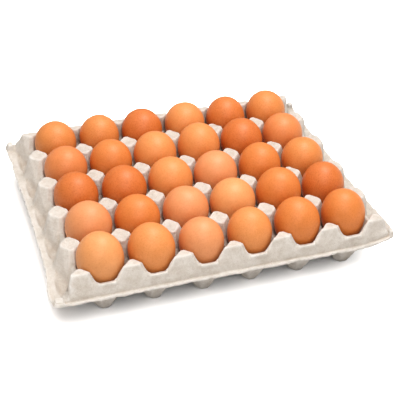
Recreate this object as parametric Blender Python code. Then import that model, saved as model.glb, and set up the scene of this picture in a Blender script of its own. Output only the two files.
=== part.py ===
"""A moulded pulp tray of thirty brown eggs, six across and five deep, each standing blunt end up in its own cup.

Units are metres and +Z is up. The origin is on the floor, under the middle of the tray, and -Y is its front.
"""

import collections
import math

import bmesh
import bpy

# The grid of cups. Posts stand on the grid's nodes, so there is one more of them each way.
COLUMNS = 6
ROWS = 5
PITCH_X = 0.0455
PITCH_Y = 0.0493
STRETCH_Y = PITCH_Y / PITCH_X
GRID_X = 0.0024  # the left rim is the wider one, so the cups lie to the right of the tray's middle

# Heights above the floor
POST_TOP = 0.0530
SIDE_RIB_TOP = 0.0380  # the wall between two cups of one row
ROW_RIB_TOP = 0.0390  # the wall between two rows
RIM_TOP = 0.0310
RIM_UNDER = 0.0285
LEDGE_TOP = 0.0320

# The pulp sheet, and the least share of a small flat that its underside keeps
SHEET = 0.0024
UNDER_SHARE = 0.4

# A cup's rings: radius and height on the inside, then on the outside. The first one is the flat foot.
CUP_SIDES = 8
CUP_RINGS = (
    (0.0054, 0.0024, 0.0064, 0.0),
    (0.0080, 0.0092, 0.0102, 0.0074),
    (0.0166, 0.0270, 0.0179, 0.0252),
)

# Flat tops of the ribs: half their width above and below the sheet, and half their length
RIB_HALF = 0.00185
RIB_UNDER_HALF = 0.00045
SIDE_RIB_REACH = 0.0092
ROW_RIB_REACH = 0.0085
UNDER_REACH = 0.0004

# A post's flat top is a diamond with cut corners. Each pair is the reach of the corner and half the cut.
POST_X = (0.0084, 0.0022)
POST_Y = (0.0096, 0.0018)

# On the front and back edges the top is cut short. These are x and y from the node, y towards the cups.
EDGE_POST_TIP = (0.0018, 0.01285)
EDGE_POST_SIDE = (0.0078, 0.00665)
EDGE_POST_FACE = (0.0066, 0.00395)
EDGE_POST_MIDDLE = 0.0084

# Lips of the cups on the edges: distance out from the line of nodes and height, inner and outer
EDGE_LIP = ((-0.00275, 0.0423), (0.00025, 0.0409))
EDGE_LIP_UNDER = ((-0.00135, 0.0399), (-0.00095, 0.0396))
END_LIP = ((-0.0007, 0.0410), (0.0020, 0.0400))
END_LIP_UNDER = ((0.0005, 0.0384), (0.0008, 0.0381))
END_LIP_REACH = 0.0080

# The front and back walls: distance out from the line of nodes, and height, from a post's shoulder to the rim
SHOULDER_HALF = 0.0106
SHOULDER_UNDER_HALF = 0.0092
SHOULDER = (0.0002, 0.0410)
SHOULDER_UNDER = (-0.0016, 0.0399)
PANEL_HALF = 0.00725
LEDGE = 0.0026
LEDGE_UNDER = (0.0010, 0.0289)
RIM = 0.0051

# The two ends. A valley runs out from each cup: half its width and its height, step by step
VALLEY = ((0.0030, 0.0282), (0.0030, 0.0282), (0.0036, RIM_TOP))
VALLEY_UNDER = ((0.0042, 0.0259), (0.0042, 0.0259), (0.0046, RIM_UNDER))
CORNER_CREST = 0.00525
RIM_CORNER = 0.0020

# Low blocks on the four corners of the rim, which keep stacked trays square
BLOCK_Y = (-0.0035, 0.0040)
BLOCK_TOP = 0.0375
BLOCK_TAPER = 0.0009

# What differs between the ends. All but the half widths are distances out from the last line of nodes.
End = collections.namedtuple(
    "End",
    "post post_half corner shoulder shoulder_under crest_half crest_under crest_under_half"
    " valley valley_under flange flange_under rim block",
)
ENDS = {
    -1: End(
        post=0.0084,
        post_half=0.0022,
        corner=0.0081,
        shoulder=0.0119,
        shoulder_under=0.0100,
        crest_half=0.0023,
        crest_under=0.0133,
        crest_under_half=0.0010,
        valley=(0.0075, 0.0141, 0.0153),
        valley_under=(0.0064, 0.0151, 0.0164),
        flange=0.0153,
        flange_under=0.0137,
        rim=0.0238,
        block=(0.0163, 0.0228),
    ),
    1: End(
        post=0.0038,
        post_half=0.0053,
        corner=0.0063,
        shoulder=0.0100,
        shoulder_under=0.0080,
        crest_half=0.0048,
        crest_under=0.0088,
        crest_under_half=0.0028,
        valley=(0.0052, 0.0096, 0.0108),
        valley_under=(0.0041, 0.0106, 0.0119),
        flange=0.0108,
        flange_under=0.0092,
        rim=0.0190,
        block=(0.0117, 0.0180),
    ),
}

# The eggs. Rows are listed from the front, and each letter is one egg from left to right.
EGG_SEGMENTS = 12
EGG_RINGS = 6
EGG_MIDDLE = 0.0495  # height of the widest part
EGG_TIP = 0.0330  # from there down to the pointed end
EGG_TAPER = 0.22
EGG_LEAN = 0.0004  # the eggs stand a little to the left in their cups
EGG_WIDTH = {"S": 0.0404, "M": 0.0415, "L": 0.0425}
EGG_CROWN = {"L": 0.0221, "M": 0.0235, "H": 0.0256}
WIDTHS = ("MMSSMS", "LMLLLS", "MLLLMM", "MMLLLM", "MSMMSM")
CROWNS = ("HHLMHH", "MLLLHM", "MLMLML", "LLMHML", "LLLLLL")
TONES = ("TTTTOD", "PORPOD", "DDTPTT", "POTTOP", "OTDTOT")

# Base colours, linear: pulp, then the shells by letter
PULP = (0.72, 0.64, 0.56)
SHELLS = {
    "P": ("pale", (0.83, 0.47, 0.24)),
    "T": ("tan", (0.74, 0.36, 0.14)),
    "R": ("rosy", (0.78, 0.40, 0.22)),
    "O": ("orange", (0.68, 0.25, 0.07)),
    "D": ("deep", (0.52, 0.14, 0.035)),
}

# One point of the sheet: its place on the upper face and on the underside
Fold = collections.namedtuple("Fold", "top under")


def clear_scene():
    for old in list(bpy.data.objects):
        bpy.data.objects.remove(old, do_unlink=True)


def make_material(name, colour, roughness):
    material = bpy.data.materials.new(name)
    material.use_nodes = True
    shader = material.node_tree.nodes["Principled BSDF"]
    shader.inputs["Base Color"].default_value = (*colour, 1.0)
    shader.inputs["Roughness"].default_value = roughness
    shader.inputs["Metallic"].default_value = 0.0
    return material


def add_object(name, mesh, material, parent):
    """Puts a finished mesh in the scene as one named sub-part."""
    mesh.materials.append(material)
    made = bpy.data.objects.new(name, mesh)
    made.parent = parent
    bpy.context.scene.collection.objects.link(made)
    return made


class Sheet:
    """The pulp sheet. Each face is laid on the upper side and on the underside, and close() joins them at the rim."""

    def __init__(self):
        self.mesh = bmesh.new()
        self.pairs = {}

    def pair(self, fold):
        key = tuple(round(value, 6) for value in fold.top)
        if key not in self.pairs:
            self.pairs[key] = (self.mesh.verts.new(fold.top), self.mesh.verts.new(fold.under))
        return self.pairs[key]

    def face(self, *folds):
        tops, unders = zip(*(self.pair(fold) for fold in folds))
        self.mesh.faces.new(tops)
        self.mesh.faces.new(unders)

    def close(self):
        below = dict(self.pairs.values())
        rim = [edge for edge in self.mesh.edges if edge.is_boundary and edge.verts[0] in below]
        for edge in rim:
            first, second = edge.verts
            self.mesh.faces.new((first, second, below[second], below[first]))
        bmesh.ops.recalc_face_normals(self.mesh, faces=self.mesh.faces)


def node_x(i):
    return GRID_X + (i - COLUMNS / 2) * PITCH_X


def node_y(j):
    return (j - ROWS / 2) * PITCH_Y


def cup_x(i):
    return node_x(i + 0.5)


def cup_y(j):
    return node_y(j + 0.5)


def edge_side(index, count):
    """-1 for the first line of nodes, 1 for the last one and 0 for those between."""
    return (index == count) - (index == 0)


def end_x(side, out):
    """x at a distance out from the last line of nodes, at the left or the right end."""
    return node_x(COLUMNS if side > 0 else 0) + side * out


def edge_y(side, out):
    """y at a distance out from the last line of nodes, at the front or the back."""
    return node_y(ROWS if side > 0 else 0) + side * out


def inset(value):
    """A corner's distance from the middle of a flat top, as it is on the underside."""
    return math.copysign(max(abs(value) - SHEET, UNDER_SHARE * abs(value)), value)


def post_corner(i, j, axis, sx, sy):
    """A corner of a post's flat top: axis is the way that the diamond's point faces, sx and sy the side of it."""
    side_y = edge_side(j, ROWS)
    end = ENDS[sx] if sx == edge_side(i, COLUMNS) else None
    middle = 0.0
    if side_y:
        if axis == "x":
            reach = EDGE_POST_SIDE
        else:
            reach = EDGE_POST_FACE if sy == side_y else EDGE_POST_TIP
        dx = sx * (end.corner if end and reach is not EDGE_POST_TIP else reach[0])
        dy = -side_y * reach[1]
        middle = -side_y * EDGE_POST_MIDDLE
    elif axis == "x":
        out, half = (end.post, end.post_half) if end else POST_X
        dx = sx * out
        dy = sy * half
    else:
        dx = sx * POST_Y[1]
        dy = sy * POST_Y[0]
    top = (node_x(i) + dx, node_y(j) + dy, POST_TOP)
    under = (node_x(i) + inset(dx), node_y(j) + middle + inset(dy - middle), POST_TOP - SHEET)
    return Fold(top, under)


def side_rib(i, j, sx, sy):
    """A corner of the flat on top of the wall between two cups of row j, or of the lip at the row's end."""
    side = edge_side(i, COLUMNS)
    if side:
        which = int(sx == side)
        out, z = END_LIP[which]
        out_under, z_under = END_LIP_UNDER[which]
        top = (node_x(i) + side * out, cup_y(j) + sy * END_LIP_REACH, z)
        under = (node_x(i) + side * out_under, cup_y(j) + sy * (END_LIP_REACH + UNDER_REACH), z_under)
        return Fold(top, under)
    top = (node_x(i) + sx * RIB_HALF, cup_y(j) + sy * SIDE_RIB_REACH, SIDE_RIB_TOP)
    y_under = cup_y(j) + sy * (SIDE_RIB_REACH + UNDER_REACH)
    return Fold(top, (node_x(i) + sx * RIB_UNDER_HALF, y_under, SIDE_RIB_TOP - SHEET))


def row_rib(i, j, sx, sy):
    """A corner of the flat on top of the wall between two rows in column i, or of the lip on the tray's edge."""
    side = edge_side(j, ROWS)
    x = cup_x(i) + sx * ROW_RIB_REACH
    x_under = x + sx * UNDER_REACH
    if side:
        which = int(sy == side)
        out, z = EDGE_LIP[which]
        out_under, z_under = EDGE_LIP_UNDER[which]
        return Fold((x, node_y(j) + side * out, z), (x_under, node_y(j) + side * out_under, z_under))
    under = (x_under, node_y(j) + sy * RIB_UNDER_HALF, ROW_RIB_TOP - SHEET)
    return Fold((x, node_y(j) + sy * RIB_HALF, ROW_RIB_TOP), under)


def ring_point(i, j, ring, step):
    """A point of one of a cup's rings. The cups are stretched along Y as the grid is."""
    radius, z, radius_under, z_under = CUP_RINGS[ring]
    angle = (step + 0.5) * math.tau / CUP_SIDES
    cos = math.cos(angle)
    sin = math.sin(angle) * STRETCH_Y
    top = (cup_x(i) + radius * cos, cup_y(j) + radius * sin, z)
    under = (cup_x(i) + radius_under * cos, cup_y(j) + radius_under * sin, z_under)
    return Fold(top, under)


def cup_brim(i, j):
    """The eight rib corners round a cup, in the order of its rings."""
    return [
        side_rib(i + 1, j, -1, 1),
        row_rib(i, j + 1, 1, -1),
        row_rib(i, j + 1, -1, -1),
        side_rib(i, j, 1, 1),
        side_rib(i, j, 1, -1),
        row_rib(i, j, -1, 1),
        row_rib(i, j, 1, 1),
        side_rib(i + 1, j, -1, -1),
    ]


def add_cup(sheet, i, j):
    rings = [[ring_point(i, j, ring, step) for step in range(CUP_SIDES)] for ring in range(len(CUP_RINGS))]
    rings.append(cup_brim(i, j))
    sheet.face(*rings[0])
    for low, high in zip(rings, rings[1:]):
        for step in range(CUP_SIDES):
            after = (step + 1) % CUP_SIDES
            sheet.face(low[step], low[after], high[after], high[step])
    for sx in (-1, 1):
        for sy in (-1, 1):
            right = i + (sx > 0)
            back = j + (sy > 0)
            sheet.face(
                side_rib(right, j, -sx, sy),
                row_rib(i, back, sx, -sy),
                post_corner(right, back, "x", -sx, -sy),
                post_corner(right, back, "y", -sx, -sy),
            )


def add_side_rib(sheet, i, j):
    sheet.face(*(side_rib(i, j, sx, sy) for sx, sy in ((-1, -1), (1, -1), (1, 1), (-1, 1))))
    for sy in (-1, 1):
        post = j + (sy > 0)
        sheet.face(
            side_rib(i, j, -1, sy),
            side_rib(i, j, 1, sy),
            post_corner(i, post, "y", 1, -sy),
            post_corner(i, post, "y", -1, -sy),
        )


def add_row_rib(sheet, i, j):
    side = edge_side(j, ROWS)
    sheet.face(*(row_rib(i, j, sx, sy) for sx, sy in ((-1, -1), (1, -1), (1, 1), (-1, 1))))
    for sx in (-1, 1):
        post = i + (sx > 0)
        if side:
            end = [shoulder(post, side, -sx), post_corner(post, j, "y", -sx, side)]
            end.append(post_corner(post, j, "x", -sx, -side))
            sheet.face(row_rib(i, j, sx, -side), row_rib(i, j, sx, side), *end)
        else:
            end = [post_corner(post, j, "x", -sx, sy) for sy in (1, -1)]
            sheet.face(row_rib(i, j, sx, -1), row_rib(i, j, sx, 1), *end)


def add_post_top(sheet, i, j):
    side = edge_side(j, ROWS)
    if side:
        turns = [("x", 1, -side), ("y", 1, -side), ("y", -1, -side)]
        turns += [("x", -1, -side), ("y", -1, side), ("y", 1, side)]
    else:
        turns = [("x", 1, 1), ("y", 1, 1), ("y", -1, 1), ("x", -1, 1)]
        turns += [("x", -1, -1), ("y", -1, -1), ("y", 1, -1), ("x", 1, -1)]
    sheet.face(*(post_corner(i, j, *turn) for turn in turns))


def shoulder(i, side, sx):
    """Where the outer face of an edge post turns down to the rim."""
    at_end = sx == edge_side(i, COLUMNS)
    half = ENDS[sx].shoulder if at_end else SHOULDER_HALF
    half_under = ENDS[sx].shoulder_under if at_end else SHOULDER_UNDER_HALF
    top = (node_x(i) + sx * half, edge_y(side, SHOULDER[0]), SHOULDER[1])
    return Fold(top, (node_x(i) + sx * half_under, edge_y(side, SHOULDER_UNDER[0]), SHOULDER_UNDER[1]))


def flange_corner(sx, side):
    """The inner corner of the rim, at the foot of a corner post."""
    top = (end_x(sx, ENDS[sx].flange), edge_y(side, LEDGE), RIM_TOP)
    return Fold(top, (end_x(sx, ENDS[sx].flange_under), edge_y(side, LEDGE_UNDER[0]), RIM_UNDER))


def ledge(i, side, sx):
    """The foot of the front or back wall, beside node i."""
    if sx == edge_side(i, COLUMNS):
        return flange_corner(sx, side)
    x = node_x(i) + sx * (PITCH_X / 2 - PANEL_HALF)
    return Fold((x, edge_y(side, LEDGE), LEDGE_TOP), (x, edge_y(side, LEDGE_UNDER[0]), LEDGE_UNDER[1]))


def rim_below(point, side):
    """The rim's outer edge straight out from a point of the ledge."""
    x = point.top[0]
    return Fold((x, edge_y(side, RIM), RIM_TOP), (x, edge_y(side, RIM), RIM_UNDER))


def add_edge_wall(sheet, side):
    """The front or back wall: a panel below each cup's lip, the face of each post, and the rim's narrow ledge."""
    j = ROWS if side > 0 else 0
    for i in range(COLUMNS + 1):
        left = ledge(i, side, -1)
        right = ledge(i, side, 1)
        sheet.face(
            post_corner(i, j, "y", -1, side),
            post_corner(i, j, "y", 1, side),
            shoulder(i, side, 1),
            right,
            left,
            shoulder(i, side, -1),
        )
        sheet.face(left, right, rim_below(right, side), rim_below(left, side))
    for i in range(COLUMNS):
        left = ledge(i, side, 1)
        right = ledge(i + 1, side, -1)
        sheet.face(row_rib(i, j, -1, side), row_rib(i, j, 1, side), right, left)
        sheet.face(shoulder(i, side, 1), row_rib(i, j, -1, side), left)
        sheet.face(shoulder(i + 1, side, -1), row_rib(i, j, 1, side), right)
        sheet.face(left, right, rim_below(right, side), rim_below(left, side))


def valley(j, side, step, sy):
    """A corner of the valley that runs out from an end cup to the rim."""
    half, z = VALLEY[step]
    half_under, z_under = VALLEY_UNDER[step]
    top = (end_x(side, ENDS[side].valley[step]), cup_y(j) + sy * half, z)
    return Fold(top, (end_x(side, ENDS[side].valley_under[step]), cup_y(j) + sy * half_under, z_under))


def crest_foot(j, side, sy):
    """Where the ridge below an end post meets the rim."""
    end = ENDS[side]
    corner = edge_side(j, ROWS)
    y = node_y(j) + sy * (CORNER_CREST if corner else end.crest_half)
    y_under = node_y(j) + sy * (CORNER_CREST if corner else end.crest_under_half)
    return Fold((end_x(side, end.flange), y, RIM_TOP), (end_x(side, end.crest_under), y_under, RIM_UNDER))


def add_flank(sheet, j, side, sy):
    """The slope between an end post's ridge and the valley beside it."""
    i = COLUMNS if side > 0 else 0
    post = j + (sy > 0)
    lip = side_rib(i, j, side, sy)
    near = post_corner(i, post, "y", side, -sy)
    far = post_corner(i, post, "x", side, -sy)
    foot = crest_foot(post, side, -sy)
    start, middle, end = (valley(j, side, step, sy) for step in range(len(VALLEY)))
    sheet.face(near, lip, start)
    sheet.face(near, start, far)
    sheet.face(far, start, foot)
    sheet.face(start, middle, foot)
    sheet.face(middle, end, foot)


def add_end_wall(sheet, side):
    """The left or right wall: ridges below the posts, valleys below the cups' lips, and the wide rim."""
    i = COLUMNS if side > 0 else 0
    inner_edge = []
    for j in range(ROWS):
        rows = [[side_rib(i, j, side, sy) for sy in (-1, 1)]]
        rows += [[valley(j, side, step, sy) for sy in (-1, 1)] for step in range(len(VALLEY))]
        for upper, lower in zip(rows, rows[1:]):
            sheet.face(*upper, lower[1], lower[0])
        for sy in (-1, 1):
            add_flank(sheet, j, side, sy)
        inner_edge += [crest_foot(j, side, 1), *rows[-1], crest_foot(j + 1, side, -1)]
    for j in range(1, ROWS):
        corners = [post_corner(i, j, "x", side, sy) for sy in (-1, 1)]
        sheet.face(*corners, crest_foot(j, side, 1), crest_foot(j, side, -1))
    sheet.face(*inner_edge, *(rim_end(side, sy) for sy in (1, -1)))


def rim_end(sx, sy):
    """The outer edge of the wide rim, level with a corner post's ridge."""
    y = crest_foot(ROWS if sy > 0 else 0, sx, -sy).top[1]
    x = end_x(sx, ENDS[sx].rim)
    return Fold((x, y, RIM_TOP), (x, y, RIM_UNDER))


def block_point(sx, sy, x_step, y_step, z, taper):
    """A corner of a corner block, whose hollow underside keeps a share of its width."""
    across = ENDS[sx].block
    middle_x = sum(across) / 2
    middle_y = sum(BLOCK_Y) / 2
    half_x = across[x_step] - middle_x - math.copysign(taper, x_step - 0.5)
    half_y = BLOCK_Y[y_step] - middle_y - math.copysign(taper, y_step - 0.5)
    top = (end_x(sx, middle_x + half_x), edge_y(sy, middle_y + half_y), z)
    x_under = end_x(sx, middle_x + inset(half_x))
    y_under = edge_y(sy, middle_y + inset(half_y))
    return Fold(top, (x_under, y_under, z - (RIM_TOP - RIM_UNDER)))


def add_corner(sheet, sx, sy):
    """The outer side of a corner post, and the rim's corner with its raised block."""
    i = COLUMNS if sx > 0 else 0
    j = ROWS if sy > 0 else 0
    foot = crest_foot(j, sx, -sy)
    inner = flange_corner(sx, sy)
    sheet.face(
        post_corner(i, j, "x", sx, -sy),
        post_corner(i, j, "y", sx, sy),
        shoulder(i, sy, sx),
        inner,
        foot,
    )
    below = rim_below(inner, sy)
    cut = []
    for along, across in ((RIM_CORNER, 0.0), (0.0, RIM_CORNER)):
        x = end_x(sx, ENDS[sx].rim - along)
        y = edge_y(sy, RIM - across)
        cut.append(Fold((x, y, RIM_TOP), (x, y, RIM_UNDER)))
    first, second = cut
    last = rim_end(sx, sy)
    turns = ((0, 0), (0, 1), (1, 1), (1, 0))
    base = [block_point(sx, sy, *turn, RIM_TOP, 0.0) for turn in turns]
    cap = [block_point(sx, sy, *turn, BLOCK_TOP, BLOCK_TAPER) for turn in turns]
    sheet.face(foot, inner, below, base[1], base[0])
    sheet.face(below, first, base[2], base[1])
    sheet.face(first, second, base[2])
    sheet.face(second, last, base[3], base[2])
    sheet.face(last, foot, base[0], base[3])
    for turn in range(4):
        after = (turn + 1) % 4
        sheet.face(base[turn], base[after], cap[after], cap[turn])
    sheet.face(*cap)


def build_tray(parent):
    sheet = Sheet()
    for i in range(COLUMNS):
        for j in range(ROWS):
            add_cup(sheet, i, j)
    for i in range(COLUMNS + 1):
        for j in range(ROWS):
            add_side_rib(sheet, i, j)
    for i in range(COLUMNS):
        for j in range(ROWS + 1):
            add_row_rib(sheet, i, j)
    for i in range(COLUMNS + 1):
        for j in range(ROWS + 1):
            add_post_top(sheet, i, j)
    for side in (-1, 1):
        add_edge_wall(sheet, side)
        add_end_wall(sheet, side)
    for sx in (-1, 1):
        for sy in (-1, 1):
            add_corner(sheet, sx, sy)
    sheet.close()
    mesh = bpy.data.meshes.new("tray")
    sheet.mesh.to_mesh(mesh)
    sheet.mesh.free()
    add_object("tray", mesh, make_material("grey pulp", PULP, 0.95), parent)


def egg_mesh(name, width, crown):
    """A shell of revolution: an ellipse above its widest part, and a tapering point below it."""
    shell = bmesh.new()
    bmesh.ops.create_uvsphere(shell, u_segments=EGG_SEGMENTS, v_segments=EGG_RINGS, radius=1.0)
    for vertex in shell.verts:
        x, y, z = vertex.co
        taper = 1.0 - EGG_TAPER * z * z if z < 0.0 else 1.0
        radius = width / 2 * taper
        vertex.co = (x * radius, y * radius, z * (EGG_TIP if z < 0.0 else crown))
    mesh = bpy.data.meshes.new(name)
    shell.to_mesh(mesh)
    shell.free()
    mesh.shade_smooth()
    return mesh


def build_eggs(parent):
    shells = {
        letter: make_material(f"{tone} shell", colour, 0.45) for letter, (tone, colour) in SHELLS.items()
    }
    for j in range(ROWS):
        for i in range(COLUMNS):
            name = f"egg_row{j + 1}_col{i + 1}"
            mesh = egg_mesh(name, EGG_WIDTH[WIDTHS[j][i]], EGG_CROWN[CROWNS[j][i]])
            egg = add_object(name, mesh, shells[TONES[j][i]], parent)
            egg.location = (cup_x(i) - EGG_LEAN, cup_y(j), EGG_MIDDLE)


def main():
    clear_scene()
    carton = bpy.data.objects.new("egg_carton", None)
    bpy.context.scene.collection.objects.link(carton)
    build_tray(carton)
    build_eggs(carton)


main()
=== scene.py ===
"""Dresses the thirty-egg tray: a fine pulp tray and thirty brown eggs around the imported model, with a plain stage."""

import math

import bmesh
import bpy
import numpy as np
from mathutils import Euler, Matrix, Vector, noise


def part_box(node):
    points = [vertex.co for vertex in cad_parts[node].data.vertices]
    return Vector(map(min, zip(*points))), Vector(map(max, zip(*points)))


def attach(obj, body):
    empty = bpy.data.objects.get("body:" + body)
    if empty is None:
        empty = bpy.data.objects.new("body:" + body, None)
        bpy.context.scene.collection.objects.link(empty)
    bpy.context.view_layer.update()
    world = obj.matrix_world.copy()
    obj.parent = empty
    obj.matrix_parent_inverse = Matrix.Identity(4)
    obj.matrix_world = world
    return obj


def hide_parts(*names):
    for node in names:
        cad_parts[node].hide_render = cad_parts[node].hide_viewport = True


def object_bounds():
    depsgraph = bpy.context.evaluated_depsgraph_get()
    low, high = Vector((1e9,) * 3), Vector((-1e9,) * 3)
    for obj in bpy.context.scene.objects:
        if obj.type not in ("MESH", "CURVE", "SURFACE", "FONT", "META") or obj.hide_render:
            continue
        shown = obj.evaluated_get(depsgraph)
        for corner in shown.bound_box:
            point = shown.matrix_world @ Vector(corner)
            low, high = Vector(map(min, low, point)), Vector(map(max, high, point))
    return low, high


bl_info = {
    "name": "Egg tray with eggs",
    "version": (1, 0, 0),
    "blender": (4, 5, 0),
    "location": "3D View > Sidebar > Egg Tray",
    "description": "Makes a moulded pulp tray of thirty brown eggs around its packed model",
    "category": "Add Mesh",
}

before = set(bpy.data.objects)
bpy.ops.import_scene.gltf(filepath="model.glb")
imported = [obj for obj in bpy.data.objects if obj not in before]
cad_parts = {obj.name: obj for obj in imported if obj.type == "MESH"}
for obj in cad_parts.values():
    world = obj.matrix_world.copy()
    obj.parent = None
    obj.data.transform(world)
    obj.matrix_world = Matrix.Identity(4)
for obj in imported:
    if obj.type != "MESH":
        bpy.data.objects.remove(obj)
model_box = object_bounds()

ROWS = 5
COLUMNS = 6

# Heights of the tray's parts above the floor, in metres
POST_TOP = 0.0530
RIM_TOP = 0.0310
RIM_UNDER = 0.0285

# The notches in the front and back walls: half the flat below, the slope beside it and the round between them
NOTCH_HALF = 0.0085
NOTCH_SLOPE = 1.66
NOTCH_START = 0.0040
NOTCH_RADIUS = 0.0080
NOTCH_LIFT = 0.0016
NOTCH_PUSH = 0.0006

# How the tray's parts are moved from where the solid has them, in metres
POST_LEAN = 0.0012
FLANK_LEAN = 0.0016
BEAD_LIFT = 0.0004
CREASE_SINK = 0.0009
CREASE_PUSH = 0.0006
UNDER_LIFT = 0.0006
FOOT_SPREAD = 0.13  # a share of the foot's half width
VALLEY_SINK = 0.0028
END_POST_PUSH = 0.0030
FRONT_RIGHT_LIFT = 0.0058
FRONT_RIGHT_PULL = (-0.0038, 0.0010)
BACK_LEFT_SHIFT = (-0.0010, 0.0026, 0.0035)
BACK_RIGHT_LIFT = 0.0020
LEFT_BOW = 0.0017
LEFT_SPLAY = 0.0016
LEFT_BULGE = 0.0026
FRONT_LEFT_LIFT = 0.0014
BLOCK_BASE = 0.0325
BLOCK_SQUASH = 0.5

FLOOR_HALF = 6.0

CUP_MOUTH = 0.0165  # radius within which a cup is hidden by its egg
CUP_HIDDEN = 0.041  # and the height below which it is

EGG_WAIST = 0.59  # height of an egg's widest part, as a share of its length

VALLEY_END = {-1: (0.0156, 0.0172), 1: (0.0112, 0.0130)}  # where a valley's outer end rises to the rim
GRID_LEAN = 0.0004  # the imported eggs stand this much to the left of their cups' middles

# What each letter below says of an egg's shell: slot, colour (linear) and how strongly it is freckled
SHELLS = {
    "C": ("pale", (0.731, 0.313, 0.113), 0.20),
    "P": ("pale", (0.713, 0.287, 0.115), 0.20),
    "R": ("rosy", (0.696, 0.265, 0.096), 0.25),
    "T": ("tan", (0.713, 0.270, 0.080), 0.35),
    "A": ("tan", (0.679, 0.244, 0.064), 0.55),
    "S": ("rosy", (0.679, 0.231, 0.070), 0.30),
    "O": ("orange", (0.661, 0.213, 0.047), 0.45),
    "F": ("orange", (0.644, 0.196, 0.044), 0.80),
    "D": ("deep", (0.609, 0.174, 0.035), 0.85),
}

# Rows are listed from the front, and each sign is one egg from left to right. A lean is in steps of LEAN_STEP.
TONES = ("CTPTOO", "POPCOD", "DDTPOA", "SOTTDS", "AADTFA")
LEANS = ("222333", "010000", "100001", "012223", "012122")
LEAN_STEP = math.radians(1.6)
LEAN_FOOT = 0.0300  # height of the ring on which an egg rests in its cup

EGG_RINGS = 34
EGG_SEGMENTS = 52
EGG_TAPER = 0.22


def egg_node(row, column):
    return f"egg_row{row + 1}_col{column + 1}"


def box_middle(node):
    low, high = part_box(node)
    return (low + high) / 2


def cup_grid():
    """The middle of the first cup and the step from cup to cup, from where the eggs stand."""
    first = box_middle(egg_node(0, 0))
    last = box_middle(egg_node(ROWS - 1, COLUMNS - 1))
    pitch = Vector(((last.x - first.x) / (COLUMNS - 1), (last.y - first.y) / (ROWS - 1)))
    return first.xy, pitch


# ---------------------------------------------------------------------------------------------------------------------
# Settings


class PulpTraySettings(bpy.types.PropertyGroup):
    sheet_grid: bpy.props.FloatProperty(
        name="Sheet grid",
        description="Spacing of the points on the pulp sheet before it is thinned out",
        default=0.0009,
        min=0.0008,
        max=0.002,
        unit="LENGTH",
    )
    face_budget: bpy.props.IntProperty(
        name="Triangles",
        description="Triangles that the finished tray keeps",
        default=196000,
        min=20000,
        max=800000,
    )
    spared: bpy.props.IntProperty(
        name="Hidden triangles",
        description="Triangles left on the underside and down in the cups before the last thinning",
        default=90000,
        min=10000,
        max=400000,
    )
    softening: bpy.props.IntProperty(
        name="Fold softness",
        description="How many times the folds are eased",
        default=1,
        min=0,
        max=30,
    )
    lumps: bpy.props.FloatProperty(
        name="Lumps",
        description="Height of the sheet's broad unevenness",
        default=0.0004,
        unit="LENGTH",
    )
    streaks: bpy.props.FloatProperty(
        name="Draw streaks",
        description="Height of the streaks that the mould leaves on steep walls",
        default=0.00022,
        unit="LENGTH",
    )
    creases: bpy.props.FloatProperty(
        name="Creases",
        description="Height of the wrinkles on the flat tops of the posts",
        default=0.0004,
        unit="LENGTH",
    )
    ragged: bpy.props.FloatProperty(
        name="Ragged edge",
        description="How far the torn edge of the rim wanders",
        default=0.0009,
        unit="LENGTH",
    )
    colour: bpy.props.FloatVectorProperty(
        name="Pulp",
        description="Colour of the dry pulp",
        subtype="COLOR",
        size=3,
        min=0.0,
        max=1.0,
        default=(0.615, 0.565, 0.510),
    )
    shade: bpy.props.FloatVectorProperty(
        name="Pulp shade",
        description="Colour of the darker clouds in the pulp",
        subtype="COLOR",
        size=3,
        min=0.0,
        max=1.0,
        default=(0.515, 0.455, 0.392),
    )
    # Painted highlight: the pulp is coloured lighter along the outer, convex folds
    edge: bpy.props.FloatVectorProperty(
        name="Painted fold highlight",
        description="Colour of the painted highlight along the outer folds",
        subtype="COLOR",
        size=3,
        min=0.0,
        max=1.0,
        default=(0.72, 0.685, 0.650),
    )
    # Painted shade: the pulp is coloured darker down in the concave folds and hollows
    hollow_shade: bpy.props.FloatVectorProperty(
        name="Painted hollow shade",
        description="Colour of the pulp down in the folds",
        subtype="COLOR",
        size=3,
        min=0.0,
        max=1.0,
        default=(0.45, 0.36, 0.28),
    )
    fleck: bpy.props.FloatVectorProperty(
        name="Flecks",
        description="Colour of the brown flecks of board in the pulp",
        subtype="COLOR",
        size=3,
        min=0.0,
        max=1.0,
        default=(0.30, 0.17, 0.09),
    )


class BrownEggSettings(bpy.types.PropertyGroup):
    gloss: bpy.props.FloatProperty(
        name="Roughness",
        description="Roughness of the shells",
        default=0.44,
        min=0.0,
        max=1.0,
        subtype="FACTOR",
    )
    pores: bpy.props.FloatProperty(
        name="Pores",
        description="Depth of the pores",
        default=0.00005,
        unit="LENGTH",
    )
    unevenness: bpy.props.FloatProperty(
        name="Unevenness",
        description="How far a shell strays from a true shell of revolution",
        default=0.0003,
        unit="LENGTH",
    )
    lean: bpy.props.FloatProperty(
        name="Lean",
        description="Angle of one step of an egg's lean in its cup",
        default=LEAN_STEP,
        subtype="ANGLE",
    )


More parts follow.
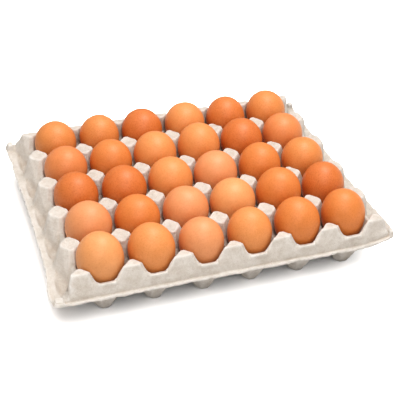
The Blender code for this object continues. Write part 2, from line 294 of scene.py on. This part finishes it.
class EggStageSettings(bpy.types.PropertyGroup):
    turn: bpy.props.FloatProperty(
        name="Camera turn",
        description="How far the camera has gone round the tray from its front",
        default=math.radians(-18.79),
        subtype="ANGLE",
    )
    height: bpy.props.FloatProperty(
        name="Camera elevation",
        description="Angle of the camera above the horizon",
        default=math.radians(35.04),
        subtype="ANGLE",
    )
    roll: bpy.props.FloatProperty(
        name="Camera roll",
        description="Tilt of the camera about its own line of sight",
        default=math.radians(1.24),
        subtype="ANGLE",
    )
    distance: bpy.props.FloatProperty(
        name="Camera distance",
        description="Distance from the camera to the point it looks at",
        default=0.9194,
        unit="LENGTH",
    )
    lens: bpy.props.FloatProperty(
        name="Lens",
        description="Focal length in millimetres",
        default=89.7,
    )
    aim: bpy.props.FloatVectorProperty(
        name="Aim",
        description="Point that the camera looks at",
        size=3,
        default=(-0.0055, -0.0440, 0.0530),
        subtype="XYZ",
        unit="LENGTH",
    )
    surround: bpy.props.FloatProperty(
        name="Surrounding light",
        description="Strength of the light tent near the horizon",
        default=0.32,
        min=0.0,
    )
    overhead: bpy.props.FloatProperty(
        name="Overhead light",
        description="Strength of the light tent straight above",
        default=1.00,
        min=0.0,
    )
    key: bpy.props.FloatProperty(
        name="Key light",
        description="Power of the panel overhead, in watts",
        default=9.5,
        min=0.0,
    )
    front: bpy.props.FloatProperty(
        name="Front light",
        description="Power of the panel above and in front, in watts",
        default=4.0,
        min=0.0,
    )
    side: bpy.props.FloatProperty(
        name="Side light",
        description="Power of the low panel to the left, which only the pulp takes, in watts",
        default=4.5,
        min=0.0,
    )
    floor_light: bpy.props.FloatProperty(
        name="Floor light",
        description="Power of the wide light that only the floor takes, in watts",
        default=84.0,
        min=0.0,
    )
    floor_fill: bpy.props.FloatProperty(
        name="Floor fill",
        description="Power of the warm light that softens the shadow on the floor, in watts",
        default=11.0,
        min=0.0,
    )
    bounce: bpy.props.FloatProperty(
        name="Floor bounce",
        description="Share of the floor's light that reaches the tray",
        default=0.30,
        min=0.0,
        max=1.0,
        subtype="FACTOR",
    )
    floor: bpy.props.FloatVectorProperty(
        name="Floor",
        description="Colour of the floor",
        subtype="COLOR",
        size=3,
        min=0.0,
        max=1.0,
        default=(0.93, 0.93, 0.93),
    )


# ---------------------------------------------------------------------------------------------------------------------
# Materials


class Recipe:
    """A material's nodes, added one after the other."""

    def __init__(self, name):
        self.material = bpy.data.materials.new(name)
        self.material.use_nodes = True
        self.tree = self.material.node_tree
        self.shader = self.tree.nodes["Principled BSDF"]
        self.place = self.add("ShaderNodeTexCoord").outputs["Object"]

    def add(self, kind, **settings):
        node = self.tree.nodes.new(kind)
        for key, value in settings.items():
            if key in node.inputs:
                self.set(node.inputs[key], value)
            else:
                setattr(node, key, value)
        return node

    def set(self, socket, value):
        if isinstance(value, bpy.types.NodeSocket):
            self.tree.links.new(value, socket)
        else:
            socket.default_value = value

    def stretched(self, scale):
        """The place with each axis scaled on its own, for streaks."""
        node = self.add("ShaderNodeMapping")
        self.set(node.inputs["Vector"], self.place)
        node.inputs["Scale"].default_value = scale
        return node.outputs["Vector"]

    def noise(self, size, detail=2.0, rough=0.5, vector=None, lumpy=0.0):
        """Smooth noise with lumps about size apart, in metres."""
        node = self.add("ShaderNodeTexNoise")
        self.set(node.inputs["Vector"], vector or self.place)
        node.inputs["Scale"].default_value = 1.0 / size
        node.inputs["Detail"].default_value = detail
        node.inputs["Roughness"].default_value = rough
        node.inputs["Distortion"].default_value = lumpy
        return node.outputs["Fac"]

    def cells(self, size, vector=None, randomness=1.0):
        node = self.add("ShaderNodeTexVoronoi")
        self.set(node.inputs["Vector"], vector or self.place)
        node.inputs["Scale"].default_value = 1.0 / size
        node.inputs["Randomness"].default_value = randomness
        return node

    def ramp(self, value, low, high, bottom=0.0, top=1.0):
        node = self.add("ShaderNodeMapRange", clamp=True)
        self.set(node.inputs["Value"], value)
        for socket, number in zip(node.inputs[1:5], (low, high, bottom, top)):
            socket.default_value = number
        return node.outputs["Result"]

    def math(self, operation, *values):
        node = self.add("ShaderNodeMath", operation=operation)
        for socket, value in zip(node.inputs, values):
            self.set(socket, value)
        return node.outputs["Value"]

    def blend(self, factor, first, second, kind="MIX"):
        node = self.add("ShaderNodeMix", data_type="RGBA", blend_type=kind)
        sockets = [s for s in node.inputs if s.type == "RGBA"]
        self.set(node.inputs["Factor"], factor)
        for socket, value in zip(sockets, (first, second)):
            self.set(socket, value if isinstance(value, bpy.types.NodeSocket) else (*value, 1.0))
        return next(s for s in node.outputs if s.type == "RGBA")

    def bump(self, height, distance, strength=1.0, below=None):
        node = self.add("ShaderNodeBump")
        self.set(node.inputs["Height"], height)
        node.inputs["Distance"].default_value = distance
        node.inputs["Strength"].default_value = strength
        if below:
            self.set(node.inputs["Normal"], below)
        return node.outputs["Normal"]


def pulp_material(settings):
    """Grey recycled pulp: cloudy, fibrous and matt, with flecks of brown board, a painted highlight along its outer
    folds and painted shade down in its hollows.
    """
    made = Recipe("grey pulp")
    clouds = made.ramp(made.noise(0.008, 5.0, 0.65), 0.36, 0.66)
    colour = made.blend(clouds, settings.colour, settings.shade)
    fibres = made.noise(0.0011, 5.0, 0.75, lumpy=0.8)
    pale = made.ramp(fibres, 0.52, 0.75, 0.0, 0.65)
    colour = made.blend(pale, colour, (0.70, 0.66, 0.62))
    dark = made.ramp(fibres, 0.47, 0.28, 0.0, 0.6)
    colour = made.blend(dark, colour, (0.37, 0.31, 0.25))
    spots = made.cells(0.0042)
    speck = made.ramp(spots.outputs["Distance"], 0.11, 0.05)
    some = made.ramp(made.noise(0.011, 1.0), 0.50, 0.60)
    colour = made.blend(made.math("MULTIPLY", made.math("MULTIPLY", speck, some), 0.75), colour, settings.fleck)
    folds = made.add("ShaderNodeNewGeometry").outputs["Pointiness"]
    # Painted highlight: lighter colour where the surface is convex, along the outer folds
    colour = made.blend(made.ramp(folds, 0.505, 0.56, 0.0, 0.65), colour, settings.edge)
    # Painted shade: darker colour where the surface is concave, down in the folds and hollows
    colour = made.blend(made.ramp(folds, 0.495, 0.44, 0.0, 0.6), colour, settings.hollow_shade)
    made.set(made.shader.inputs["Base Color"], colour)
    made.set(made.shader.inputs["Roughness"], made.ramp(fibres, 0.3, 0.7, 0.88, 1.0))
    made.shader.inputs["Specular IOR Level"].default_value = 0.25
    coarse = made.bump(made.noise(0.0040, 4.0, 0.65), 0.0011)
    felt = made.bump(fibres, 0.00045, below=coarse)
    streaks = made.noise(0.0017, 2.0, 0.6, vector=made.stretched((1.0, 1.0, 0.12)))
    made.set(made.shader.inputs["Normal"], made.bump(streaks, 0.00025, below=felt))
    return made.material


def shell_material(name, colour, freckles, settings):
    """A brown shell: faintly mottled, freckled and pored, with a soft sheen."""
    made = Recipe(name)
    lighter = tuple(min(1.0, 1.10 * c + 0.02) for c in colour)
    darker = (colour[0] * 0.80, colour[1] * 0.62, colour[2] * 0.50)
    mottle = made.ramp(made.noise(0.009, 4.0, 0.6), 0.32, 0.72, 0.25, 0.85)
    shade = made.blend(mottle, lighter, colour)
    fine = made.ramp(made.noise(0.0013, 3.0, 0.7), 0.46, 0.70, 0.0, 0.22 + 0.50 * freckles)
    shade = made.blend(fine, shade, darker)
    dots = made.ramp(made.cells(0.0017).outputs["Distance"], 0.22, 0.10)
    patches = made.ramp(made.noise(0.006, 1.0), 0.48, 0.62, 0.0, 0.7 * freckles)
    shade = made.blend(made.math("MULTIPLY", dots, patches), shade, darker)
    made.set(made.shader.inputs["Base Color"], shade)
    grain = made.noise(0.0007, 2.0, 0.5)
    gloss = settings.gloss
    made.set(made.shader.inputs["Roughness"], made.ramp(grain, 0.3, 0.7, gloss - 0.05, gloss + 0.07))
    made.shader.inputs["Specular IOR Level"].default_value = 0.45
    made.shader.inputs["Subsurface Weight"].default_value = 0.03
    made.shader.inputs["Subsurface Radius"].default_value = (1.0, 0.45, 0.2)
    made.shader.inputs["Subsurface Scale"].default_value = 0.002
    pores = made.bump(made.cells(0.0006).outputs["Distance"], settings.pores)
    made.set(made.shader.inputs["Normal"], made.bump(grain, 1.2 * settings.pores, below=pores))
    return made.material


def floor_material(settings):
    """Matt white paper, lit well past white, which throws part of that light back on the tray."""
    made = Recipe("white paper")
    grey = tuple(0.985 * c for c in settings.floor)
    paper = made.blend(made.noise(0.05, 2.0), settings.floor, grey)
    seen = made.add("ShaderNodeLightPath").outputs["Is Camera Ray"]
    dim = tuple(settings.bounce * c for c in settings.floor)
    made.set(made.shader.inputs["Base Color"], made.blend(seen, dim, paper))
    made.shader.inputs["Roughness"].default_value = 1.0
    made.shader.inputs["Specular IOR Level"].default_value = 0.0
    return made.material


# ---------------------------------------------------------------------------------------------------------------------
# Meshes


def points_of(mesh):
    flat = np.empty(len(mesh.vertices) * 3, np.float32)
    mesh.vertices.foreach_get("co", flat)
    return flat.reshape(-1, 3).astype(float)


def normals_of(mesh):
    flat = np.empty(len(mesh.vertices) * 3, np.float32)
    mesh.vertices.foreach_get("normal", flat)
    return flat.reshape(-1, 3).astype(float)


def set_points(mesh, points):
    mesh.vertices.foreach_set("co", points.astype(np.float32).ravel())
    mesh.update()


def settled(source, name, modifiers):
    """A new object with source's mesh after these modifiers, each a kind with its settings."""
    worker = bpy.data.objects.new(name, source)
    bpy.context.scene.collection.objects.link(worker)
    for kind, settings in modifiers:
        modifier = worker.modifiers.new(kind, kind)
        for key, value in settings.items():
            setattr(modifier, key, value)
    depsgraph = bpy.context.evaluated_depsgraph_get()
    mesh = bpy.data.meshes.new_from_object(worker.evaluated_get(depsgraph))
    bpy.data.objects.remove(worker)
    return mesh


def grain(points, size, seed=0.0):
    """Smooth noise from about -1 to 1 at each point, with its lumps about size apart."""
    return np.array([noise.noise(spot) for spot in (points / size + seed).tolist()])


def fade(values, low, high):
    """0 at low and 1 at high, with soft ends."""
    share = np.clip((values - low) / (high - low), 0.0, 1.0)
    return share * share * (3.0 - 2.0 * share)


def thinned(mesh, spare, spared, budget):
    """mesh with budget triangles: its spare points go first, down to spared triangles, and then all alike."""
    worker = bpy.data.objects.new("thinned", mesh)
    bpy.context.scene.collection.objects.link(worker)
    group = worker.vertex_groups.new(name="spare")
    group.add(np.flatnonzero(spare).tolist(), 1.0, "REPLACE")
    total = 2 * len(mesh.polygons)
    left = total * (1.0 - np.mean(spare)) + spared
    first = worker.modifiers.new("hidden side", "DECIMATE")
    first.vertex_group = "spare"
    first.ratio = min(1.0, left / total)
    second = worker.modifiers.new("all", "DECIMATE")
    second.ratio = min(1.0, budget / left)
    mesh = bpy.data.meshes.new_from_object(worker.evaluated_get(bpy.context.evaluated_depsgraph_get()))
    bpy.data.objects.remove(worker)
    return mesh


def add_piece(name, mesh, material, slot, *nodes):
    """Puts a finished piece in the scene, riding on the tray's one body in place of these nodes."""
    mesh.materials.clear()
    mesh.materials.append(material)
    mesh.shade_smooth()
    piece = bpy.data.objects.new(name, mesh)
    bpy.context.scene.collection.objects.link(piece)
    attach(piece, "root")
    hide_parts(*nodes)
    return piece


# ---------------------------------------------------------------------------------------------------------------------
# The tray


def lump_sheet(points, settings):
    """Bends both faces of the sheet together, as unevenly dried pulp."""
    for axis in range(3):
        broad = grain(points, 0.016, 11.0 + axis)
        points[:, axis] += settings.lumps * broad
    return points


def streak_walls(points, normals, settings):
    """Draw streaks, which run up and down the steep walls between the eggs and on the feet."""
    steep = 1.0 - fade(np.abs(normals[:, 2]), 0.45, 0.8)
    inner = fade(model_box[1][1] - 0.012 - np.abs(points[:, 1]), 0.0, 0.004)
    feet = 1.0 - fade(points[:, 2], 0.024, 0.028)
    share = steep * np.maximum(inner, feet)
    rows = grain(points * (1.0, 1.0, 0.1), 0.0021, 3.0)
    return points + normals * (share * rows * settings.streaks)[:, None]


def crease_tops(points, normals, settings):
    """Wrinkles on the flat tops of the posts, and across the outer faces below them."""
    tops = fade(points[:, 2], POST_TOP - 0.003, POST_TOP - 0.001) * fade(normals[:, 2], 0.3, 0.8)
    ridge = 1.0 - 2.2 * np.abs(grain(points, 0.0075, 29.0))
    points[:, 2] += tops * ridge * settings.creases
    faces = fade(points[:, 2], 0.030, 0.036) * fade(np.abs(normals[:, 1]), 0.55, 0.85)
    faces *= fade(np.abs(points[:, 1]), model_box[1][1] - 0.0125, model_box[1][1] - 0.0100)
    dents = np.minimum(0.0, grain(points * (1.0, 1.0, 1.5), 0.0095, 61.0) + 0.15)
    return points + normals * (faces * (1.5 * dents + 0.5 * ridge) * settings.creases)[:, None]


def ragged_rim(points, settings):
    """Wears the cut edge of the rim, where the fibres stand out and the edge wanders."""
    low, high = model_box
    reach = np.minimum(high[0] - np.abs(points[:, 0]), high[1] - np.abs(points[:, 1]))
    edge = (1.0 - fade(reach, 0.0005, 0.0030)) * fade(points[:, 2], RIM_UNDER - 0.002, RIM_UNDER - 0.001)
    along = points * (1.0, 1.0, 0.35)
    wander = 0.9 * grain(along, 0.011, 41.0) + 0.6 * grain(along, 0.0032, 43.0)
    outward = points[:, :2] / np.maximum(np.abs(points[:, :2]), 0.001)
    side = (high[0] - np.abs(points[:, 0])) < (high[1] - np.abs(points[:, 1]))
    amount = edge * wander * settings.ragged
    points[:, 0] += np.where(side, outward[:, 0] * amount, 0.0)
    points[:, 1] += np.where(side, 0.0, outward[:, 1] * amount)
    points[:, 2] += edge * settings.ragged * (0.7 * grain(points, 0.009, 47.0) + 0.5 * grain(points, 0.0028, 53.0))
    return points


def round_notches(points):
    """Rounds the inner edge of the notches in the front and back walls, which follow the eggs they hold."""
    first, pitch = cup_grid()
    for side in (-1, 1):
        row_y = side * 2 * pitch.y
        line_y = row_y + side * pitch.y / 2
        for column in range(COLUMNS):
            across = np.abs(points[:, 0] - (first.x + GRID_LEAN + column * pitch.x))
            out = side * (points[:, 1] - row_y)
            reach = np.hypot(across, out)
            sharp = np.maximum(0.0, NOTCH_SLOPE * (across - NOTCH_HALF))
            bend = np.clip(across - NOTCH_START, 0.0, NOTCH_RADIUS * 0.86)
            arc = NOTCH_RADIUS - np.sqrt(NOTCH_RADIUS**2 - bend**2)
            near = 1.0 - fade(side * (points[:, 1] - line_y), -0.0022, -0.0002)
            near *= fade(out, 0.010, 0.016) * fade(points[:, 2], 0.034, 0.0415) * (reach < 0.030)
            points[:, 2] += near * np.maximum(0.0, arc - sharp)
            lip = 1.0 - fade(across, NOTCH_HALF - 0.0006, NOTCH_HALF + 0.0006)
            lip *= fade(side * (points[:, 1] - line_y), -0.0020, -0.0004) * fade(points[:, 2], 0.0385, 0.0400)
            points[:, 2] += NOTCH_LIFT * lip
            points[:, 1] += side * NOTCH_PUSH * lip
    return points


def lean_front_posts(points):
    """Leans the front wall's posts to the left, so that each notch hugs its egg on the right."""
    first, pitch = cup_grid()
    z = points[:, 2].copy()
    for column in range(COLUMNS):
        beside = points[:, 0] - (first.x + GRID_LEAN + column * pitch.x)
        own = np.abs(beside) <= pitch.x / 2
        wall = fade(first.y - points[:, 1], 0.0175, 0.0205) * fade(z, 0.0375, 0.0400)
        shift = POST_LEAN * (1.0 if column else 0.5)
        left_flank = fade(beside, 0.0040, 0.0090) * (1.0 - fade(beside, 0.0155, 0.0215))
        points[:, 0] -= own * wall * (shift * fade(np.abs(beside), 0.002, 0.008) + FLANK_LEAN * left_flank)
    return points


def bead_rim(points, normals):
    """Raises the front and back rims into a bead, with a crease between the bead and the wall."""
    low, high = model_box
    upper = fade(normals[:, 2], 0.0, 0.6)
    for side in (-1, 1):
        inward = high[1] - side * points[:, 1]
        level = (1.0 - fade(points[:, 2], 0.0325, 0.0355)) * fade(points[:, 2], 0.0270, 0.0290)
        crease = np.exp(-(((inward - 0.0029) / 0.0010) ** 2)) * level
        crease *= 0.75 + 0.6 * grain(points * (1.0, 0.0, 0.0), 0.0150, 71.0)
        bead = (1.0 - fade(inward, 0.0012, 0.0026)) * level
        under = (1.0 - fade(inward, 0.0, 0.0035)) * fade(-normals[:, 2], 0.0, 0.6) * (points[:, 2] < RIM_TOP)
        points[:, 2] += bead * upper * BEAD_LIFT - crease * CREASE_SINK + under * UNDER_LIFT
        points[:, 1] -= side * crease * CREASE_PUSH
    return points


def spread_feet(points):
    """Widens the cups' feet towards the floor."""
    first, pitch = cup_grid()
    share = FOOT_SPREAD * (1.0 - fade(points[:, 2], 0.016, 0.026))
    grid = ((0, first.x + GRID_LEAN, pitch.x, COLUMNS), (1, first.y, pitch.y, ROWS))
    for axis, start, step, count in grid:
        cup = start + step * np.clip(np.round((points[:, axis] - start) / step), 0, count - 1)
        points[:, axis] += share * (points[:, axis] - cup)
    return points


def deepen_valleys(points):
    """Sinks the valleys that run out from the end cups to the wide rims."""
    first, pitch = cup_grid()
    ends = ((-1, first.x + GRID_LEAN - pitch.x / 2), (1, first.x + GRID_LEAN + (COLUMNS - 0.5) * pitch.x))
    for side, line_x in ends:
        out = side * (points[:, 0] - line_x)
        near = fade(out, 0.002, 0.006) * (1.0 - fade(out, *VALLEY_END[side]))
        for row in range(ROWS):
            across = np.abs(points[:, 1] - (first.y + row * pitch.y))
            share = near * (1.0 - fade(across, 0.004, 0.016)) * (1.0 - fade(points[:, 2], 0.031, 0.036))
            points[:, 2] -= VALLEY_SINK * share
    return points


def push_end_posts(points):
    """Pushes the tops of the posts at the right end outwards, over the rim."""
    first, pitch = cup_grid()
    line_x = first.x + GRID_LEAN + (COLUMNS - 0.5) * pitch.x
    beyond = fade(points[:, 0] - line_x, 0.0010, 0.0050) * fade(points[:, 2], 0.0340, 0.0500)
    between = (points[:, 1] - first.y) / pitch.y - 0.5
    across = np.abs(between - np.clip(np.round(between), 0, ROWS - 2)) * pitch.y
    points[:, 0] += END_POST_PUSH * beyond * (1.0 - fade(across, 0.010, 0.014))
    return points


def curl_flanges(points):
    """Curls the wide rims as they have dried: corners turn up, and the long edges wander in and out."""
    low, high = model_box
    x, y, z = points.T.copy()
    loose = 1.0 - fade(z, 0.034, 0.046)

    from_right = high[0] - x
    from_front = y - low[1]
    from_left = x - low[0]
    from_back = high[1] - y
    flange = 1.0 - fade(from_right, 0.0, 0.0125)
    ledge = 1.0 - fade(from_front, 0.004, 0.011)
    lift = np.maximum(
        flange * (1.0 - fade(from_front, 0.0, 0.105)),
        ledge * (1.0 - fade(from_right, 0.0, 0.038)),
    )
    points[:, 2] += FRONT_RIGHT_LIFT * lift * loose
    tip = (1.0 - fade(from_right, 0.0, 0.014)) * (1.0 - fade(from_front, 0.0, 0.018))
    for axis, pull in enumerate(FRONT_RIGHT_PULL):
        points[:, axis] += pull * tip

    back_tip = (1.0 - fade(from_left, 0.008, 0.024)) * (1.0 - fade(from_back, 0.0, 0.018))
    points[:, 0] += BACK_LEFT_SHIFT[0] * back_tip
    points[:, 1] += BACK_LEFT_SHIFT[1] * back_tip * loose
    points[:, 2] += BACK_LEFT_SHIFT[2] * back_tip * loose

    far_right = (1.0 - fade(from_right, 0.0, 0.014)) * (1.0 - fade(from_back, 0.0, 0.030))
    points[:, 2] += BACK_RIGHT_LIFT * far_right

    outer = 1.0 - fade(from_left, 0.0, 0.009)
    along = np.clip(from_front / (high[1] - low[1]), 0.0, 1.0)
    points[:, 0] += LEFT_BOW * outer * np.sin(np.pi * along) ** 2
    points[:, 0] -= LEFT_SPLAY * outer * (1.0 - fade(from_front, 0.0, 0.040))
    low_part = 1.0 - fade(z, BLOCK_BASE, 0.0350)
    bulge = fade(from_front, 0.002, 0.014) * (1.0 - fade(from_front, 0.018, 0.060))
    points[:, 0] -= LEFT_BULGE * (1.0 - fade(from_left, 0.006, 0.016)) * low_part * bulge
    front_tip = (1.0 - fade(from_left, 0.0, 0.020)) * (1.0 - fade(from_front, 0.0, 0.016))
    points[:, 2] += FRONT_LEFT_LIFT * front_tip * low_part
    block = (from_left < 0.013) * (from_front < 0.013)
    points[:, 2] -= BLOCK_SQUASH * block * np.maximum(0.0, z - BLOCK_BASE)
    return points


def hidden(points, normals):
    """Which points are down in a cup, under its egg, or on the sheet's underside."""
    first, pitch = cup_grid()
    beside = (points[:, :2] - first) / pitch
    beside -= np.clip(np.round(beside), 0, (COLUMNS - 1, ROWS - 1))
    in_cup = (np.hypot(*(beside * pitch).T) < CUP_MOUTH) & (points[:, 2] < CUP_HIDDEN)
    return in_cup | (normals[:, 2] < -0.05) & (points[:, 2] > 0.004)


def tray_mesh(settings):
    """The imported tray's sheet, made even, eased along its folds and worn as moulded pulp is."""
    grid = {"mode": "VOXEL", "voxel_size": settings.sheet_grid, "adaptivity": 0.0}
    ease = {"factor": 0.5, "iterations": settings.softening}
    mesh = settled(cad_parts["tray"].data.copy(), "sheet", [("REMESH", grid), ("SMOOTH", ease)])
    points = points_of(mesh)
    normals = normals_of(mesh)
    points = streak_walls(points, normals, settings)
    points = crease_tops(points, normals, settings)
    points = bead_rim(points, normals)
    points = ragged_rim(points, settings)
    points = lump_sheet(points, settings)
    points = round_notches(points)
    points = lean_front_posts(points)
    points = deepen_valleys(points)
    points = push_end_posts(points)
    points = spread_feet(points)
    points = curl_flanges(points)
    points[:, 2] = np.maximum(points[:, 2], 0.0)
    set_points(mesh, points)
    return thinned(mesh, hidden(points, normals), settings.spared, settings.face_budget)


class EGGTRAY_OT_tray(bpy.types.Operator):
    """Make the moulded pulp tray"""

    bl_idname = "eggtray.tray"
    bl_label = "Pulp Tray"

    def execute(self, context):
        settings = context.scene.pulp_tray
        add_piece("pulp_tray", tray_mesh(settings), pulp_material(settings), "pulp", "tray")
        return {"FINISHED"}


# ---------------------------------------------------------------------------------------------------------------------
# The eggs


def egg_mesh(name, node, lean, settings):
    """A shell of revolution in the node's box: a round crown, and a point that goes down into the cup."""
    low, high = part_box(node)
    middle = (low + high) / 2
    width = (high.y - low.y) / 2
    waist = low.z + (high.z - low.z) * EGG_WAIST
    shell = bmesh.new()
    bmesh.ops.create_uvsphere(shell, u_segments=EGG_SEGMENTS, v_segments=EGG_RINGS, radius=1.0)
    seed = middle * 900.0
    tilt = Euler((0.25 * lean * math.sin(seed.x), -lean, 0.0)).to_matrix()
    pivot = Vector((middle.x, middle.y, LEAN_FOOT))
    for vertex in shell.verts:
        x, y, z = vertex.co
        below = z < 0.0
        radius = width * (1.0 - EGG_TAPER * z * z if below else 1.0)
        swell = settings.unevenness * noise.noise(vertex.co * 1.1 + seed)
        radius += swell
        height = z * ((waist - low.z) if below else (high.z - waist)) + swell * z
        place = Vector((middle.x + x * radius, middle.y + y * radius, waist + height))
        vertex.co = pivot + tilt @ (place - pivot)
    mesh = bpy.data.meshes.new(name)
    shell.to_mesh(mesh)
    shell.free()
    return mesh


class EGGTRAY_OT_eggs(bpy.types.Operator):
    """Make the thirty brown eggs"""

    bl_idname = "eggtray.eggs"
    bl_label = "Brown Eggs"

    def execute(self, context):
        settings = context.scene.brown_eggs
        for row in range(ROWS):
            for column in range(COLUMNS):
                node = egg_node(row, column)
                name = f"brown_{node}"
                tone, colour, freckles = SHELLS[TONES[row][column]]
                mesh = egg_mesh(name, node, settings.lean * int(LEANS[row][column]), settings)
                shell = shell_material(f"{tone} shell {row + 1}-{column + 1}", colour, freckles, settings)
                add_piece(name, mesh, shell, f"{tone}_shell", node)
        return {"FINISHED"}


# ---------------------------------------------------------------------------------------------------------------------
# The stage


def add_lamp(name, place, size, energy, only=None):
    """A square light panel at place, which faces the tray. only is the one object it shines on."""
    lamp = bpy.data.lights.new(name, "AREA")
    lamp.energy = energy
    lamp.shape = "SQUARE"
    lamp.size = size
    panel = bpy.data.objects.new(name, lamp)
    panel.location = place
    panel.rotation_euler = (Vector((0.0, 0.0, 0.03)) - panel.location).to_track_quat("-Z", "Y").to_euler()
    bpy.context.scene.collection.objects.link(panel)
    if only:
        lit = bpy.data.collections.new(f"lit by {name}")
        lit.objects.link(only)
        panel.light_linking.receiver_collection = lit
    return panel


def add_floor(settings):
    mesh = bpy.data.meshes.new("floor")
    corners = [(FLOOR_HALF * x, FLOOR_HALF * y, 0.0) for x, y in ((-1, -1), (1, -1), (1, 1), (-1, 1))]
    mesh.from_pydata(corners, [], [(0, 1, 2, 3)])
    mesh.materials.append(floor_material(settings))
    floor = bpy.data.objects.new("floor", mesh)
    bpy.context.scene.collection.objects.link(floor)
    add_lamp("floor light", (0.45, -0.20, 1.5), 2.6, settings.floor_light, floor)
    fill = add_lamp("floor fill", (0.0, 0.0, 1.5), 3.0, settings.floor_fill, floor)
    fill.data.color = (1.0, 0.66, 0.42)
    fill.data.use_shadow = False


def add_lights(settings):
    """A tent of light, brightest overhead, panels above and in front, and one at the side for the pulp alone."""
    world = bpy.data.worlds.new("light tent")
    world.use_nodes = True
    nodes = world.node_tree.nodes
    links = world.node_tree.links
    background = nodes["Background"]
    background.inputs["Color"].default_value = (1.0, 0.995, 0.985, 1.0)
    direction = nodes.new("ShaderNodeTexCoord")
    split = nodes.new("ShaderNodeSeparateXYZ")
    links.new(direction.outputs["Generated"], split.inputs["Vector"])
    height = nodes.new("ShaderNodeMath")
    height.operation = "MULTIPLY"
    height.use_clamp = True
    links.new(split.outputs["Z"], height.inputs[0])
    links.new(split.outputs["Z"], height.inputs[1])
    strength = nodes.new("ShaderNodeMapRange")
    links.new(height.outputs["Value"], strength.inputs["Value"])
    strength.inputs["To Min"].default_value = settings.surround
    strength.inputs["To Max"].default_value = settings.overhead
    links.new(strength.outputs["Result"], background.inputs["Strength"])
    bpy.context.scene.world = world
    add_lamp("key light", (0.28, 0.05, 1.25), 0.6, settings.key)
    add_lamp("front light", (-0.15, -0.95, 0.95), 0.9, settings.front)
    add_lamp("side light", (-1.00, -0.70, 0.45), 0.9, settings.side, bpy.data.objects["pulp_tray"])


def add_camera(settings):
    lens = bpy.data.cameras.new("camera")
    lens.sensor_width = 36.0
    lens.lens = settings.lens
    lens.clip_start = 0.01
    lens.clip_end = 30.0
    camera = bpy.data.objects.new("camera", lens)
    level = math.cos(settings.height)
    back = Vector((math.sin(settings.turn) * level, -math.cos(settings.turn) * level, math.sin(settings.height)))
    right = Vector((math.cos(settings.turn), math.sin(settings.turn), 0.0))
    up = back.cross(right)
    turned_right = right * math.cos(settings.roll) + up * math.sin(settings.roll)
    turned_up = up * math.cos(settings.roll) - right * math.sin(settings.roll)
    basis = Matrix((turned_right, turned_up, back)).transposed().to_4x4()
    camera.matrix_world = Matrix.Translation(Vector(settings.aim) + back * settings.distance) @ basis
    bpy.context.scene.collection.objects.link(camera)
    bpy.context.scene.camera = camera


class EGGTRAY_OT_stage(bpy.types.Operator):
    """Set up the floor, the studio light and the camera"""

    bl_idname = "eggtray.stage"
    bl_label = "Stage"

    def execute(self, context):
        settings = context.scene.egg_stage
        add_floor(settings)
        add_lights(settings)
        add_camera(settings)
        context.scene.view_settings.view_transform = "Standard"
        context.scene.view_settings.look = "Medium High Contrast"
        return {"FINISHED"}


class VIEW3D_PT_eggtray(bpy.types.Panel):
    """Makers of the tray, its eggs and the stage"""

    bl_label = "Egg Tray"
    bl_space_type = "VIEW_3D"
    bl_region_type = "UI"
    bl_category = "Egg Tray"

    def draw(self, context):
        groups = (
            ("pulp_tray", EGGTRAY_OT_tray),
            ("brown_eggs", EGGTRAY_OT_eggs),
            ("egg_stage", EGGTRAY_OT_stage),
        )
        for name, operator in groups:
            section = self.layout.box()
            section.operator(operator.bl_idname)
            settings = getattr(context.scene, name)
            for key in settings.bl_rna.properties.keys():
                if key not in ("rna_type", "name"):
                    section.prop(settings, key)


SETTINGS = {"pulp_tray": PulpTraySettings, "brown_eggs": BrownEggSettings, "egg_stage": EggStageSettings}
OPERATORS = (EGGTRAY_OT_tray, EGGTRAY_OT_eggs, EGGTRAY_OT_stage)


def register():
    for cls in (*SETTINGS.values(), *OPERATORS, VIEW3D_PT_eggtray):
        bpy.utils.register_class(cls)
    for name, cls in SETTINGS.items():
        setattr(bpy.types.Scene, name, bpy.props.PointerProperty(type=cls))


def unregister():
    for name in SETTINGS:
        delattr(bpy.types.Scene, name)
    for cls in reversed((*SETTINGS.values(), *OPERATORS, VIEW3D_PT_eggtray)):
        bpy.utils.unregister_class(cls)


def main():
    register()
    bpy.ops.eggtray.tray()
    bpy.ops.eggtray.eggs()
    bpy.ops.eggtray.stage()


if __name__ == "__main__":
    main()
